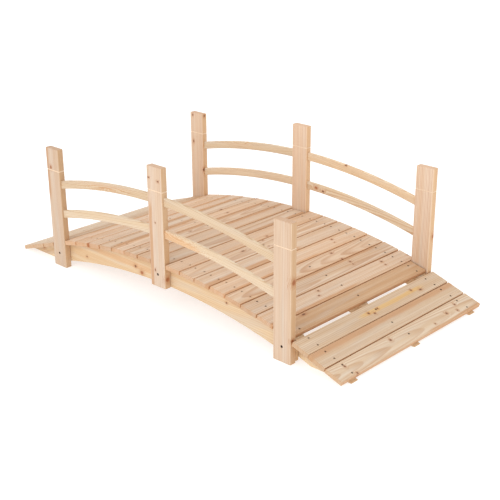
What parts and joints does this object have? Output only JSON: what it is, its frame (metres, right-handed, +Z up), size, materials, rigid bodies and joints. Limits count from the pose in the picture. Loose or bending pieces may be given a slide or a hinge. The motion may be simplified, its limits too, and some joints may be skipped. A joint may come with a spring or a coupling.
{
  "type": "small arched garden footbridge",
  "caption": "Arched bare-wood garden footbridge: planked deck on bowed stringers, slim posts with bowed rails, and a short planked ramp at each end.",
  "frame": {"origin": "centre of the bounding box at ground level", "axes": "+X along the bridge towards its right end, +Y across to the far railing, +Z up; the end posts and ramp battens stand on Z = 0"},
  "size_m": [1.506, 0.7, 0.474],
  "materials": {
    "post": "bare planed softwood, satin, pale pinkish beige",
    "rail": "bare planed softwood, satin, pale yellow",
    "frame": "bare sawn softwood, matt, pale yellow",
    "deck": "bare planed softwood, satin, pale beige",
    "end_board": "bare planed softwood, satin, orange brown",
    "ramp": "bare planed softwood, satin, pale beige"
  },
  "bodies": {
    "root": {"near_middle_post": "post", "near_left_post": "post", "near_left_upper_rail": "rail", "near_left_lower_rail": "rail", "near_right_post": "post", "near_right_upper_rail": "rail", "near_right_lower_rail": "rail", "near_fascia": "frame", "far_middle_post": "post", "far_left_post": "post", "far_left_upper_rail": "rail", "far_left_lower_rail": "rail", "far_right_post": "post", "far_right_upper_rail": "rail", "far_right_lower_rail": "rail", "far_fascia": "frame", "near_stringer": "frame", "middle_stringer": "frame", "far_stringer": "frame", "middle_plank": "deck", "left_deck_plank_1": "deck", "left_deck_plank_2": "deck", "left_deck_plank_3": "deck", "left_deck_plank_4": "deck", "left_deck_plank_5": "deck", "left_deck_plank_6": "deck", "left_deck_plank_7": "deck", "left_end_plank": "end_board", "left_ramp_battens": "frame", "left_ramp_plank_1": "ramp", "left_ramp_plank_2": "ramp", "left_ramp_plank_3": "ramp", "right_deck_plank_1": "deck", "right_deck_plank_2": "deck", "right_deck_plank_3": "deck", "right_deck_plank_4": "deck", "right_deck_plank_5": "deck", "right_deck_plank_6": "deck", "right_deck_plank_7": "deck", "right_end_plank": "end_board", "right_ramp_battens": "frame", "right_ramp_plank_1": "ramp", "right_ramp_plank_2": "ramp", "right_ramp_plank_3": "ramp"}
  },
  "joints": []
}
